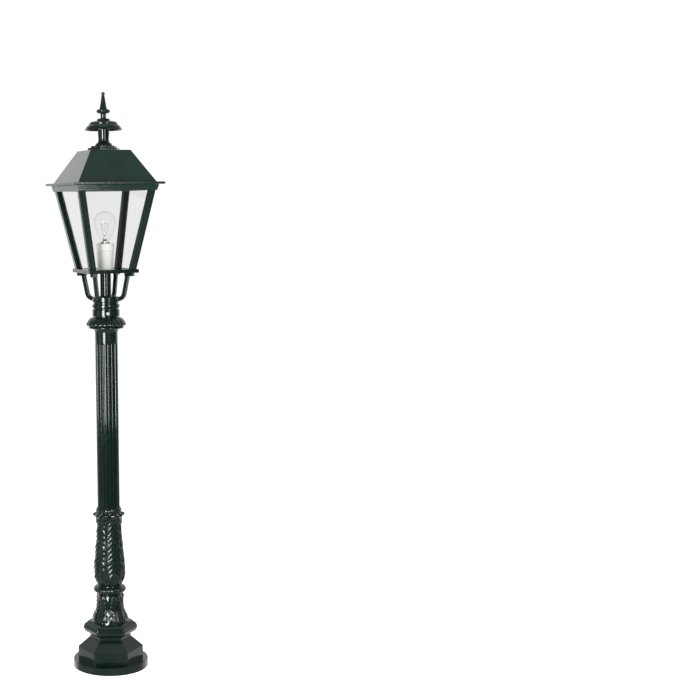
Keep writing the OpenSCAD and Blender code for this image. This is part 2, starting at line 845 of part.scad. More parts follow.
// a turned spindle with a ball on its tip, which screws down on the rod
module finial() {
    color(green) at(canopy_top + lift) difference() {
        turned(concat(
            [[0, 0], [16.3, 0], [17.5, 2.4], [14.6, 5], [7.8, 5.6], [7.2, 11], [7.5, 17.6],
             [14.3, 18.3], [15, 20]],
            smooth([[16.9, 20.8], [18.1, 24.3], [15.5, 28], [11.6, 29.6]], 3),
            smooth([[9.9, 30], [8.2, 38], [6.2, 50], [4.1, 64.4]], 3),
            arc(0, 68.6, ball_r, -45, 90, 8)
        ));
        translate([0, 0, -1]) cylinder(r = finial_rod_r + turn_gap, h = finial_rod_high - canopy_top + 2);
    }
}

base_plate();
hex_foot();
leaf_pedestal();
beaded_ring();
acanthus_vase();
leaf_collar();
fluted_shaft();
spigot();
capital_ring();
gadroon_skirt();
rod_bridge();
bridge_screws();
tie_rod();
rod_washers();
rod_nuts();
terminal_block();
supply_lead();
arm_bracket();
set_screws();
stem();
stem_tube();
stem_nuts();
bottom_frame();
floor_plate();
post_screws();
for (i = [1:4]) corner_post(i);
for (i = [1:4]) glass_pane(i);
top_frame();
top_screws();
holder_body();
holder_ring();
holder_shell();
holder_contact();
bulb_glass();
bulb_mount();
bulb_cap();
bulb_insulator();
bulb_contact();
filament_leads();
filament();
roof_shell();
chimney_base();
canopy();
finial_rod();
roof_washer();
roof_nut();
finial();
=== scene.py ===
import math

import bmesh
import bpy
from mathutils import Matrix, Quaternion, Vector

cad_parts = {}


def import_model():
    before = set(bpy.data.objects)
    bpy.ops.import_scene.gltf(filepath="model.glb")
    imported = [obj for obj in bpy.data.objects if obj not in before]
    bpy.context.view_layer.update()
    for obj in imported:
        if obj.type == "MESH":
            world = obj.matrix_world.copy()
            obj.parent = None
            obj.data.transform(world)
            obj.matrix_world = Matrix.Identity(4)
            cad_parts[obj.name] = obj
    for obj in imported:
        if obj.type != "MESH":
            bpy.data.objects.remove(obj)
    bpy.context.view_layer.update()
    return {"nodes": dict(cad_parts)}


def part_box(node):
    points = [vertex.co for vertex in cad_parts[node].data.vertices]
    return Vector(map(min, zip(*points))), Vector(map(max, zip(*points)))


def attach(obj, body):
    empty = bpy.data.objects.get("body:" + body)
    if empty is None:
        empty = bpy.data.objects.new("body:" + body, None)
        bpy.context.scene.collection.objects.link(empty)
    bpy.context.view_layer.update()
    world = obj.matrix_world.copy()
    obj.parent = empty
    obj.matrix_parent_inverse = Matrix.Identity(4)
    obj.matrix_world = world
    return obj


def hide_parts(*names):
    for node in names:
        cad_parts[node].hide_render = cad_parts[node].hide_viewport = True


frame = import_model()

# Shapes are drawn in millimetres, like the CAD model, and MM turns them into metres.
MM = 0.001
TURN = 360.0

# The lantern's turn about the post, and the direction of the camera, in degrees.
LANTERN_YAW = 19.5
FRONT = -90.0


# ---- places read from the frame ----

def low(node):
    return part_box(node)[0].z / MM


def high(node):
    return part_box(node)[1].z / MM


def reach(node):
    """Outer radius of a round node."""
    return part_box(node)[1].x / MM


def lantern_half(node, from_z=-1e9, to_z=1e9):
    """Half the side of a square node, measured in the lantern's own directions."""
    turn = Matrix.Rotation(-math.radians(LANTERN_YAW), 3, "Z")
    places = [turn @ v.co / MM for v in frame["nodes"][node].data.vertices]
    return max(abs(p.x) for p in places if from_z <= p.z <= to_z)


# ---- outlines ----

def arc(x, y, r, start, end, steps=6):
    """Points on a circle from one angle to another, in degrees."""
    angles = [math.radians(start + (end - start) * i / steps) for i in range(steps + 1)]
    return [(x + r * math.cos(a), y + r * math.sin(a)) for a in angles]


def curve(points, steps=5):
    """A smooth curve through the points, of two or three coordinates."""
    out = []
    last = len(points) - 1
    for i in range(last):
        a, b = Vector(points[max(i - 1, 0)]), Vector(points[i])
        c, d = Vector(points[i + 1]), Vector(points[min(i + 2, last)])
        for s in range(steps):
            t = s / steps
            p = 0.5 * (2 * b + (c - a) * t + (2 * a - 5 * b + 4 * c - d) * t ** 2
                       + (3 * b - a - 3 * c + d) * t ** 3)
            out.append(tuple(p))
    out.append(tuple(points[last]))
    return out


def rounded(outline, radius, steps=4, least_turn=20.0):
    """A closed outline whose corners are rounded; bends gentler than least_turn stay."""
    out = []
    n = len(outline)
    for i in range(n):
        before, here, after = (Vector(outline[(i + k) % n]) for k in (-1, 0, 1))
        back, ahead = before - here, after - here
        turn = 180 - math.degrees(back.angle(ahead, math.pi))
        if turn < least_turn:
            out.append(tuple(here))
            continue
        half = math.radians(180 - turn) / 2
        cut = min(radius / math.tan(half), 0.45 * back.length, 0.45 * ahead.length)
        r = cut * math.tan(half)
        centre = here + (back.normalized() + ahead.normalized()).normalized() * (r / math.sin(half))
        first = here + back.normalized() * cut - centre
        last = here + ahead.normalized() * cut - centre
        for k in range(steps + 1):
            p = first.slerp(last, k / steps).normalized() * r if r > 1e-6 else first
            out.append(tuple(centre + p))
    return out


def polar(r, degrees):
    return r * math.cos(math.radians(degrees)), r * math.sin(math.radians(degrees))


def circle(r, columns=128):
    return [polar(r, TURN * k / columns) for k in range(columns)]


def many_sided(r, sides, fillet, turn=0.0, steps=4, along=6):
    """A regular polygon of corner radius r with rounded corners and points along its sides."""
    fillet = min(fillet, 0.4 * r)
    step = TURN / sides
    inner = r - fillet / math.cos(math.radians(step / 2))
    out = []
    for k in range(sides):
        a = turn + step * k
        corner = arc(*polar(inner, a), fillet, a - step / 2, a + step / 2, steps)
        out += corner
        a += step
        following = arc(*polar(inner, a), fillet, a - step / 2, a + step / 2, steps)[0]
        start, end = Vector(corner[-1]), Vector(following)
        out += [tuple(start.lerp(end, i / along)) for i in range(1, along)]
    return out


def square(half, fillet=1.2, along=2):
    return many_sided(half * math.sqrt(2), 4, fillet, 45.0, 4, along)


def oblong(x, y, fillet=1.0, along=10):
    """A rectangle of half sides x and y with rounded corners and points along its sides."""
    f = min(fillet, 0.9 * x, 0.9 * y)
    centres = [(x - f, y - f), (f - x, y - f), (f - x, f - y), (x - f, f - y)]
    corners = [arc(cx, cy, f, 90 * k, 90 * k + 90, 4) for k, (cx, cy) in enumerate(centres)]
    out = []
    for this, following in zip(corners, corners[1:] + corners[:1]):
        start, end = Vector(this[-1]), Vector(following[0])
        out += this + [tuple(start.lerp(end, i / along)) for i in range(1, along)]
    return out


def hexagon(r, fillet=3.0):
    return many_sided(r, 6, fillet)


def with_angles_of(outline, r):
    """A circle whose points lie at the same angles as the outline's."""
    return [tuple(Vector(p).normalized() * r) for p in outline]


# ---- meshes ----

def rings(profile, section):
    """One ring of points for each (r, z) of a profile, with the shape that section(r) gives."""
    return [[(x, y, z) for x, y in section(r)] for r, z in profile]


def skin(rows, loop=True):
    """Vertices and faces through rings of equally many points. With loop, the last row joins
    the first one; without, flat ends close the shape."""
    n = len(rows[0])
    verts = [p for row in rows for p in row]
    pairs = [(k, k + 1) for k in range(len(rows) - 1)]
    if loop:
        pairs.append((len(rows) - 1, 0))
    faces = [(a * n + i, a * n + (i + 1) % n, b * n + (i + 1) % n, b * n + i)
             for a, b in pairs for i in range(n)]
    if not loop:
        faces.append(tuple(range(n))[::-1])
        faces.append(tuple((len(rows) - 1) * n + i for i in range(n)))
    return verts, faces


def moved(shape, matrix):
    verts, faces = shape
    return [tuple(matrix @ Vector(v)) for v in verts], faces


def joined(*shapes):
    verts, faces = [], []
    for v, f in shapes:
        start = len(verts)
        verts += v
        faces += [tuple(start + i for i in face) for face in f]
    return verts, faces


def turned(outline, columns=128):
    """A closed outline of (r, z), turned about Z."""
    return skin(rings(outline, lambda r: circle(max(r, 0.0), columns)))


def about_z(degrees):
    return Matrix.Rotation(math.radians(degrees), 4, "Z")


def in_lantern(shape, quarter=0):
    return moved(shape, about_z(LANTERN_YAW + 90 * quarter))


def swept(way, section, side):
    """A bar with the given closed section along a way of points. side is the direction across
    the way that the section's first coordinate follows."""
    side = Vector(side).normalized()
    way = [Vector(p) for p in way]
    last = len(way) - 1
    rows = []
    for i, p in enumerate(way):
        ahead = (way[min(i + 1, last)] - way[max(i - 1, 0)]).normalized()
        up = ahead.cross(side).normalized()
        across = up.cross(ahead)
        rows.append([tuple(p + across * x + up * y) for x, y in section])
    return skin(rows, loop=False)


def piece(name, shape, material, body, slot, *nodes, sharp=35.0, weighted=True, second=None, where=None):
    """A finished piece of the lamp: its mesh, its material, the body it rides and the CAD nodes
    it stands for. Faces for which where(centre in millimetres, normal) holds get the second
    material."""
    verts, faces = shape
    mesh = bpy.data.meshes.new(name)
    mesh.from_pydata([tuple(c * MM for c in v) for v in verts], [], faces)
    edit = bmesh.new()
    edit.from_mesh(mesh)
    bmesh.ops.remove_doubles(edit, verts=edit.verts, dist=2e-6)
    bmesh.ops.dissolve_degenerate(edit, edges=edit.edges, dist=1e-7)
    bmesh.ops.recalc_face_normals(edit, faces=edit.faces)
    edit.to_mesh(mesh)
    edit.free()
    mesh.shade_smooth()
    mesh.set_sharp_from_angle(angle=math.radians(sharp))
    mesh.materials.append(material)
    if second:
        mesh.materials.append(second)
        for face in mesh.polygons:
            if where(face.center / MM, face.normal):
                face.material_index = 1
    obj = bpy.data.objects.new(name, mesh)
    bpy.context.scene.collection.objects.link(obj)
    if weighted:
        smooth = obj.modifiers.new("weighted_normals", "WEIGHTED_NORMAL")
        smooth.keep_sharp = True
    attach(obj, body)
    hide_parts(*nodes)


# ---- materials ----

class Nodes:
    """A short way to write a material's node tree."""

    def __init__(self, name):
        self.material = bpy.data.materials.new(name)
        self.material.use_nodes = True
        self.tree = self.material.node_tree
        self.tree.nodes.clear()
        self.output = self.add("ShaderNodeOutputMaterial")
        self.place = self.add("ShaderNodeTexCoord").outputs["Object"]

    def add(self, kind, inputs=None, **settings):
        node = self.tree.nodes.new(kind)
        for key, value in settings.items():
            setattr(node, key, value)
        for key, value in (inputs or {}).items():
            self.set(node.inputs[key], value)
        return node

    def set(self, socket, value):
        if isinstance(value, bpy.types.NodeSocket):
            self.tree.links.new(value, socket)
        else:
            socket.default_value = value

    def noise(self, scale, detail=3.0, roughness=0.5):
        made = self.add("ShaderNodeTexNoise", {
            "Vector": self.place, "Scale": scale, "Detail": detail, "Roughness": roughness})
        return made.outputs["Fac"]

    def span(self, value, start, end, low_value, high_value):
        """The value, stretched from start..end to low_value..high_value."""
        made = self.add("ShaderNodeMapRange", {
            "Value": value, "From Min": start, "From Max": end,
            "To Min": low_value, "To Max": high_value})
        return made.outputs["Result"]

    def between(self, factor, first, second):
        made = self.add("ShaderNodeMix", data_type="RGBA")
        self.set(made.inputs[0], factor)
        self.set(made.inputs[6], (*first, 1))
        self.set(made.inputs[7], (*second, 1))
        return made.outputs[2]

    def bump(self, height, strength, distance, under=None):
        inputs = {"Height": height, "Strength": strength, "Distance": distance}
        if under is not None:
            inputs["Normal"] = under
        return self.add("ShaderNodeBump", inputs).outputs[0]

    def principled(self, **inputs):
        shader = self.add("ShaderNodeBsdfPrincipled")
        for key, value in inputs.items():
            self.set(shader.inputs[key.replace("_", " ")], value)
        self.finish(shader.outputs[0])
        return self.material

    def finish(self, shader):
        self.tree.links.new(shader, self.output.inputs["Surface"])


DARK_GREEN = (0.0045, 0.0135, 0.0088)
LIGHT_GREEN = (0.0064, 0.0178, 0.0118)


def paint(name, cast, peel, rough=0.10, shine=0.5, tone=0.62):
    """Glossy dark green enamel, cloudy between two greens. cast is how far the casting's
    unevenness shows through it, peel how strong its own orange peel is, and tone how light the
    greens are."""
    n = Nodes(name)
    cloud = n.noise(18, 2)
    fine = n.noise(160, 3)
    dark, light = ([c * tone for c in rgb] for rgb in (DARK_GREEN, LIGHT_GREEN))
    colour = n.between(n.span(cloud, 0.35, 0.65, 0, 1), dark, light)
    waves = n.bump(n.noise(170, 2, 0.45), cast, 0.0006)
    skin_deep = n.bump(n.noise(520, 2, 0.5), peel, 0.00025, waves)
    gloss = n.span(fine, 0.3, 0.7, rough, rough + 0.07)
    return n.principled(
        Base_Color=colour, Roughness=gloss, IOR=1.5, Specular_IOR_Level=shine, Normal=skin_deep)


def bare_metal(name, dark, light, rough, grain=900):
    """Unpainted metal, cloudy between two colours, with a fine grain."""
    n = Nodes(name)
    colour = n.between(n.noise(60, 4), dark, light)
    grains = n.noise(grain, 3, 0.6)
    return n.principled(
        Base_Color=colour, Metallic=1.0, Roughness=n.span(grains, 0.3, 0.7, rough, rough + 0.14),
        Normal=n.bump(grains, 0.12, 0.0001))


def moulding(name, dark, light, rough):
    """Moulded plastic, rubber or black glass, with a faint grain."""
    n = Nodes(name)
    colour = n.between(n.noise(40, 4), dark, light)
    return n.principled(
        Base_Color=colour, Roughness=n.span(n.noise(260, 3), 0.3, 0.7, rough, rough + 0.12),
        Normal=n.bump(n.noise(520, 2), 0.1, 0.0001))


def glazed(name):
    """White porcelain. A faint glow is painted light: it lifts the shaded side, standing in for light
    scattered inside it and for soft fill light.
    """
    n = Nodes(name)
    cloud = n.noise(30, 3)
    colour = n.between(n.span(cloud, 0.3, 0.7, 0, 1), (0.50, 0.497, 0.475), (0.56, 0.556, 0.535))
    # the emission is painted light, a glow that evens out the porcelain's shading
    return n.principled(
        Base_Color=colour, Roughness=n.span(n.noise(120, 2), 0.3, 0.7, 0.30, 0.38),
        Specular_IOR_Level=0.3, Emission_Color=colour, Emission_Strength=0.34,
        Normal=n.bump(n.noise(90, 2), 0.06, 0.0004))


def clear_glass(name, tint, ior, ripple):
    """Clear glass. Light from the lamps passes it as if it were a thin clear film."""
    n = Nodes(name)
    wave = n.bump(n.noise(14, 2), ripple, 0.0008)
    rough = n.span(n.noise(50, 3), 0.3, 0.7, 0.0, 0.012)
    glass = n.add("ShaderNodeBsdfPrincipled", {
        "Base Color": (*tint, 1), "Roughness": rough, "IOR": ior,
        "Transmission Weight": 1.0, "Normal": wave})
    film = n.add("ShaderNodeBsdfTransparent", {"Color": (0.95, 0.955, 0.95, 1)})
    shadow = n.add("ShaderNodeLightPath").outputs["Is Shadow Ray"]
    mixed = n.add("ShaderNodeMixShader", {0: shadow, 1: glass.outputs[0], 2: film.outputs[0]})
    n.finish(mixed.outputs[0])
    return n.material


def glass_film(name, tint, least, most, ripple):
    """A thin glass wall: it tints what is behind it and adds a reflection, strongest edge-on."""
    n = Nodes(name)
    wave = n.bump(n.noise(18, 2), ripple, 0.0008)
    facing = n.add("ShaderNodeLayerWeight", {"Blend": 0.5, "Normal": wave}).outputs["Facing"]
    grazing = n.add("ShaderNodeMath", {0: facing, 1: 5.0}, operation="POWER").outputs[0]
    share = n.span(grazing, 0, 1, least, most)
    rough = n.span(n.noise(50, 3), 0.3, 0.7, 0.0, 0.02)
    mirror = n.add("ShaderNodeBsdfGlossy", {"Roughness": rough, "Normal": wave})
    faint = n.between(n.noise(26, 3), tint, tuple(c - 0.008 for c in tint))
    clear = n.add("ShaderNodeBsdfTransparent", {"Color": faint})
    mixed = n.add("ShaderNodeMixShader", {0: share, 1: clear.outputs[0], 2: mirror.outputs[0]})
    n.finish(mixed.outputs[0])
    return n.material


green = paint("green_enamel", 0.13, 0.10, 0.09)
green_flat = paint("green_enamel_sheet", 0.05, 0.10, tone=1.25)
green_drawn = paint("green_enamel_drawn", 0.03, 0.04, 0.05, tone=0.6)
green_rough = paint("green_enamel_as_cast", 0.38, 0.45, 0.14)
green_inner = paint("green_enamel_inside", 0.10, 0.30, 0.40, 0.10)
zinc = bare_metal("zinc_plated_steel", (0.42, 0.42, 0.43), (0.60, 0.60, 0.60), 0.28)
stainless = bare_metal("stainless_steel", (0.82, 0.81, 0.79), (0.93, 0.92, 0.90), 0.42, 1500)
brass = bare_metal("brass", (0.56, 0.38, 0.14), (0.72, 0.52, 0.22), 0.20)
cap_metal = bare_metal("nickel_cap", (0.60, 0.57, 0.52), (0.74, 0.71, 0.66), 0.16)
tungsten = bare_metal("tungsten", (0.12, 0.12, 0.12), (0.22, 0.21, 0.20), 0.30)
lead_metal = bare_metal("lead_wire", (0.30, 0.29, 0.27), (0.42, 0.40, 0.37), 0.25)
porcelain = glazed("white_porcelain")
terminal_plastic = moulding("cream_moulding", (0.66, 0.60, 0.46), (0.76, 0.71, 0.58), 0.35)
rubber = moulding("black_sheath", (0.010, 0.010, 0.011), (0.028, 0.028, 0.030), 0.48)
black_glass = moulding("black_insulator", (0.008, 0.007, 0.008), (0.020, 0.018, 0.018), 0.12)
pane_glass = glass_film("window_glass", (0.955, 0.958, 0.955), 0.015, 0.30, 0.01)
lamp_glass = clear_glass("lamp_glass", (1.0, 1.0, 1.0), 1.47, 0.03)
lamp_film = glass_film("lamp_glass_wall", (0.997, 0.997, 0.995), 0.006, 0.42, 0.03)


# ---- the foot ----

def hex_foot():
    """Upright band, sloping faces, waist, half-round and top step, hollow and open below."""
    z0, z1 = low("hex_foot"), high("hex_foot")
    r = reach("hex_foot")
    wall = 7.0
    outside = [
        (r, z0 + 1), (r, z0 + 31), (55, z0 + 58.5), (55, z0 + 66), (57.5, z0 + 68), (61, z0 + 69),
        *curve([(62.5, z0 + 69.2), (68.5, z0 + 73), (72.4, z0 + 80.5), (72.6, z0 + 86),
                (69.5, z0 + 93), (63, z0 + 98.2)], 5),
        (60.6, z0 + 98.4), (60.4, z1), (27, z1),
    ]
    inside = [(27, z1 - 9), (53, z1 - 9), (50, z1 - 34), (49, z0 + 59), (r - wall, z0 + 30), (r - wall, z0)]
    outline = rounded(outside + inside + [(r, z0)], 1.6, 4, 24)
    return skin(rings(outline, lambda q: hexagon(q, 3.5)))


piece("hex_foot_casting", hex_foot(), green, "post", "green_paint", "hex_foot")


# ---- carved castings ----

LEAVES = 5
# direction of one leaf's midrib on the pedestal and on the vase, and of one leaf of the calyx
PEDESTAL_TURN = FRONT + 28.0
VASE_TURN = FRONT + 20.0
CALYX_TURN = FRONT + 20.0
CALYX_PITCH = 180 / LEAVES


def within(a, pitch, start):
    """Place in a repeat of an angle, from -1 to 1, with 0 in the middle of the repeat."""
    return ((a - start + pitch / 2) % pitch) / pitch * 2 - 1


def hump(x, width):
    """A smooth bump: 1 where x is 0, and almost nothing beyond twice the width."""
    return math.exp(-(x / width) ** 2)


def eased(x, start, end):
    """0 before the start, 1 after the end, with a smooth rise between."""
    t = min(max((x - start) / (end - start), 0.0), 1.0)
    return t * t * (3 - 2 * t)


def carved(profile, relief, bore, columns=240):
    """A turned wall with a plain bore. relief(share of the height, angle) says how far its
    outside is raised, square to the profile."""
    n = len(profile)
    z0, z1 = profile[0][1], profile[-1][1]
    rows = []
    for i, (r, z) in enumerate(profile):
        before, after = profile[max(i - 1, 0)], profile[min(i + 1, n - 1)]
        slope = Vector((after[0] - before[0], after[1] - before[1])).normalized()
        out_r, out_z = slope.y, -slope.x
        share = (z - z0) / (z1 - z0)
        row = []
        for k in range(columns):
            a = TURN * k / columns
            raised = relief(share, a)
            row.append((*polar(r + out_r * raised, a), z + out_z * raised))
        rows.append(row)
    inside = [[(x, y, z) for x, y in circle(bore, columns)] for z in (z1, z0)]
    return skin(rows + inside)


def evenly(profile, rows):
    """The same profile with its points spread evenly along it."""
    lengths = [0.0]
    for p, q in zip(profile, profile[1:]):
        lengths.append(lengths[-1] + math.dist(p, q))
    out, k = [], 0
    for i in range(rows + 1):
        want = lengths[-1] * i / rows
        while k < len(profile) - 2 and lengths[k + 1] < want:
            k += 1
        t = (want - lengths[k]) / max(lengths[k + 1] - lengths[k], 1e-9)
        p, q = profile[k], profile[k + 1]
        out.append((p[0] + (q[0] - p[0]) * t, p[1] + (q[1] - p[1]) * t))
    return out


def acanthus(share, u, veins, droop):
    """Relief of one acanthus leaf: a midrib, veins that droop from it, and lobed edges. Its left
    half is cut more boldly than its right half. u runs from -1 to 1 across the leaf."""
    side = abs(u)
    wave = 0.5 + 0.5 * math.cos(2 * math.pi * (veins * share + droop * side))
    swell = 0.5 + 0.5 * math.cos(2 * math.pi * (veins / 3 * share + 0.75 * side))
    edge = 1 - eased(side, 0.78 + 0.14 * swell, 0.97)
    bold = 0.85 - 0.5 * eased(u, -0.12, 0.12)
    ridge = bold * wave ** 2 * eased(side, 0.10, 0.30)
    blade = edge * (0.8 + (1.3 + 1.0 * swell) * ridge + 1.3 * bold * swell * hump(side - 0.62, 0.28))
    gutter = -1.2 * hump(side - 0.14, 0.06)
    rib = 1.3 * hump(u, 0.075)
    return blade + gutter + rib - 1.6


def calyx_foot(share, a):
    """Lower ends of the calyx's leaves, which taper down over the top of the vase."""
    down = (1 - share) * 11
    if down >= 1:
        return 0.0
    u = abs(within(a, CALYX_PITCH, CALYX_TURN))
    width = (1 - down) ** 0.6
    return 2.2 * (1 - eased(u, 0.70 * width, width))


def vase_relief(share, a):
    """Five leaves side by side, on a softly lobed foot."""
    u = within(a, TURN / LEAVES, VASE_TURN)
    fade = eased(share, 0.0, 0.05) * (1 - eased(share, 0.92, 0.98))
    base = 0.7 * math.cos(math.radians(2 * LEAVES * (a - VASE_TURN))) * (1 - fade) * (1 - share)
    return fade * acanthus(share, u, 13, 2.0) + base + calyx_foot(share, a)


def vase():
    z0 = low("acanthus_vase")
    profile = curve([(31, 0), (35, 7), (39.8, 19), (41.9, 40), (40.9, 59), (38.6, 83), (36, 110),
                     (33.6, 137), (32.2, 163), (32.6, high("acanthus_vase") - z0)], 6)
    return carved(evenly([(r, z0 + z) for r, z in profile], 150), vase_relief, 27)


def collar_relief(share, a):
    """Ten pointed leaves that rise from the vase and curl outwards at their tips."""
    u = abs(within(a, CALYX_PITCH, CALYX_TURN))
    blade = 2.0 * (1 - eased(u, 0.74, 0.98)) * (1 - eased(share, 0.30, 0.46))
    curl = hump(share - 0.36, 0.13)
    tip = 5.4 * (1 - u) ** 0.8 * curl
    rib = 0.5 * hump(u, 0.14) * curl
    gap = -3.2 * hump(u - 1, 0.20) * hump(share - 0.30, 0.22)
    twist = 0.5 * math.sin(math.radians(20 * a)) * hump(share - 0.72, 0.10)
    return blade + tip + rib + gap + twist - 1.2 * curl


def collar():
    z0, z1 = low("leaf_collar"), high("leaf_collar")
    profile = curve([(32.8, z0), (34, z0 + 4), (36.4, z0 + 10), (35.6, z0 + 12.6), (33.2, z0 + 16),
                     (33.0, z0 + 18), (34.2, z0 + 21), (33.6, z0 + 25), (31.2, z1)], 6)
    return carved(evenly(profile, 72), collar_relief, 29.6, 300)


ROPE_STRANDS = 30


def rope_relief(share, a):
    """Slanting strands."""
    slant = 6.0 * share
    wave = 0.5 + 0.5 * math.cos(math.radians(ROPE_STRANDS * a) + slant)
    return 1.1 * (wave - 0.5) * hump(share - 0.5, 0.36)


def rope():
    z0, z1 = low("beaded_ring"), high("beaded_ring")
    middle, r = (z0 + z1) / 2, reach("beaded_ring") - 0.5
    bulge_r = 8.2
    bulge = [(31.2, z0), (32.6, z0 + 2.2)]
    bulge += arc(r - bulge_r, middle, bulge_r, -72, 72, 14)
    bulge += [(32.2, z1 - 2.4), (31, z1)]
    return carved(evenly(bulge, 40), rope_relief, 27, 360)


def pedestal_relief(share, a):
    """Upright leaves whose tips curl out at the top, with scrolls between them at the bottom."""
    u = within(a, TURN / LEAVES, PEDESTAL_TURN)
    v = within(a, TURN / LEAVES, PEDESTAL_TURN + 180 / LEAVES)
    width = 0.42 + 0.40 * math.sin(math.pi * min(share * 1.05, 1.0)) ** 0.8
    side = abs(u) / width
    wave = 0.5 + 0.5 * math.cos(2 * math.pi * (7 * share - 1.1 * side))
    blade = (1 - eased(side, 0.82, 1.05)) * (1.7 + 0.9 * wave * min(side, 1))
    rib = 1.0 * hump(u, 0.07)
    tip = 2.4 * hump(share - 0.90, 0.06) * hump(u, 0.36)
    scroll = 2.2 * hump(share - 0.20, 0.11) * hump(abs(v) - 0.24, 0.15)
    eye = -1.1 * hump(share - 0.20, 0.035) * hump(abs(v) - 0.24, 0.05)
    back_leaf = 1.2 * hump(v, 0.22) * eased(share, 0.25, 0.5) * (1 - eased(share, 0.75, 0.92))
    fade = eased(share, 0.0, 0.06) * (1 - eased(share, 0.965, 1.0))
    return fade * (blade + rib + tip + scroll + eye + back_leaf - 1.6)


def pedestal():
    z0, z1 = low("leaf_pedestal"), high("leaf_pedestal")
    profile = curve([(49.2, z0), (48.6, z0 + 6), (44.6, z0 + 17), (38.6, z0 + 30), (36.4, z0 + 43),
                     (36.2, z0 + 57), (35.6, z0 + 67), (33.6, z0 + 72), (31.8, z1)], 6)
    return carved(evenly(profile, 110), pedestal_relief, 27, 300)


piece("leaf_pedestal_casting", pedestal(), green, "post", "green_paint", "leaf_pedestal", sharp=70)
piece("rope_ring_casting", rope(), green, "post", "green_paint", "beaded_ring", sharp=70)
piece("acanthus_vase_casting", vase(), green, "post", "green_paint", "acanthus_vase", sharp=70)
piece("leaf_collar_casting", collar(), green, "post", "green_paint", "leaf_collar", sharp=70)


# ---- the shaft and its capital ----

FLUTES = 18
FLUTE_TURN = FRONT - 6.0 + 180.0 / FLUTES    # direction of one flute's middle
FLUTE_R = 3.4
FLUTE_OUT = 0.9     # how far the flute cutter's centre lies outside the shaft


def soft_least(a, b, blend):
    """The smaller of two heights, with a rounded edge where they cross."""
    h = max(blend - abs(a - b), 0.0) / blend
    return min(a, b) - h * h * blend / 4


def flute_radius(a, shaft_r, cutter):
    """Radius of the fluted outside at an angle, for a flute cutter of that radius."""
    away = within(a, TURN / FLUTES, FLUTE_TURN) * 180 / FLUTES
    centre = shaft_r + FLUTE_OUT
    x = centre * math.sin(math.radians(away))
    y = centre * math.cos(math.radians(away))
    if abs(x) >= cutter:
        return shaft_r
    return soft_least(shaft_r, y - math.sqrt(cutter ** 2 - x * x), 0.7)


def shaft():
    """A tube with flutes that end in round scoops a little below its top."""
    z0, z1 = low("fluted_shaft"), high("fluted_shaft")
    r, bore = reach("fluted_shaft"), 23.0
    top = z1 - 2.0    # upper end of the flutes
    centre = r + FLUTE_OUT
    edge = math.degrees(math.acos((centre ** 2 + r ** 2 - FLUTE_R ** 2) / (2 * centre * r)))
    pitch = TURN / FLUTES
    # columns stand closer together towards a flute's edges, and four stand on each land
    in_flute = [-1, -0.98, -0.93, -0.84, -0.66, -0.4, 0, 0.4, 0.66, 0.84, 0.93, 0.98, 1]
    offsets = [s * edge for s in in_flute]
    offsets += [edge + (pitch - 2 * edge) * t for t in (0.12, 0.35, 0.65, 0.88)]
    angles = [FLUTE_TURN + pitch * k + d for k in range(FLUTES) for d in offsets]

    def fluted(z, cutter):
        return [(*polar(flute_radius(a, r, cutter), a), z) for a in angles]

    def plain(z, radius):
        return [(*polar(radius, a), z) for a in angles]

    rows = [fluted(z0, FLUTE_R), fluted(top - FLUTE_R, FLUTE_R)]
    for t in range(10, 80, 8):
        cutter, rise = polar(FLUTE_R, t)
        rows.append(fluted(top - FLUTE_R + rise, cutter))
    rows += [plain(top + 0.1, r), plain(z1, r), plain(z1, bore), plain(z0, bore)]
    return skin(rows)


SPIGOT_R = 29.97
NECK_H = 26.5       # height of the smooth neck below the capital


def neck():
    """The smooth neck and the spigot that the lantern turns on, over a plug in the shaft."""
    z0, z1 = low("spigot"), high("spigot")
    foot = low("capital_ring") - NECK_H
    plug_r, plug_bore, bore = 22.9, 18.9, 25.5
    outline = [(plug_bore, z0), (plug_r, z0), (plug_r, foot), (SPIGOT_R, foot), (SPIGOT_R, z1),
               (bore, z1), (bore, foot + 8), (plug_bore, foot + 4)]
    return turned(rounded(outline, 0.6, 3))


def capital():
    """A flare under a round-edged ring."""
    z0, z1 = low("capital_ring"), high("capital_ring")
    r, bore, edge_r = reach("capital_ring"), 30.1, 2.3
    flare = curve([(30.5, z0), (31.2, z0 + 2.6), (32.6, z0 + 5.6), (35.6, z0 + 9.4)], 5)
    edge = arc(r - edge_r, z0 + 12.1, edge_r, -70, 70, 8)
    ring = [(r - 2.6, z0 + 9.6), *edge, (r - 3.4, z1), (bore, z1)]
    return turned(rounded([(bore, z0)] + flare + ring, 0.6, 3))


GADROONS = 18


def gadroon_relief(share, a):
    """Plump lobes parted by sharp valleys, ending in round bosses at the lower edge."""
    u = within(a, TURN / GADROONS, FRONT)
    plump = math.sqrt(max(1 - (0.94 * u) ** 2, 0.0))
    fade = 1 - eased(share, 0.86, 1.0)
    grow = 0.45 + 0.55 * (1 - share)
    return 3.0 * (plump - 0.86) * fade * grow


def skirt():
    z0, z1 = low("gadroon_skirt"), high("gadroon_skirt")
    r = reach("gadroon_skirt") - 0.5
    profile = [(44, z0 + 0.2)] + curve(
        [(r - 4.2, z0 + 0.2), (r - 1, z0 + 1.6), (r, z0 + 4.2), (r - 1.6, z0 + 8.6), (47.3, z0 + 14),
         (42.6, z0 + 18.8), (37.6, z0 + 21.6), (35.2, z1)], 6)
    return carved(evenly(profile, 46), gadroon_relief, 30.1, 360)


piece("fluted_shaft_tube", shaft(), green_drawn, "post", "green_paint", "fluted_shaft")
piece("neck_and_spigot", neck(), green, "post", "green_paint", "spigot")
piece("capital_ring_casting", capital(), green, "post", "green_paint", "capital_ring")
piece("gadroon_skirt_casting", skirt(), green, "post", "green_paint", "gadroon_skirt", sharp=60)


# ---- the bracket ----

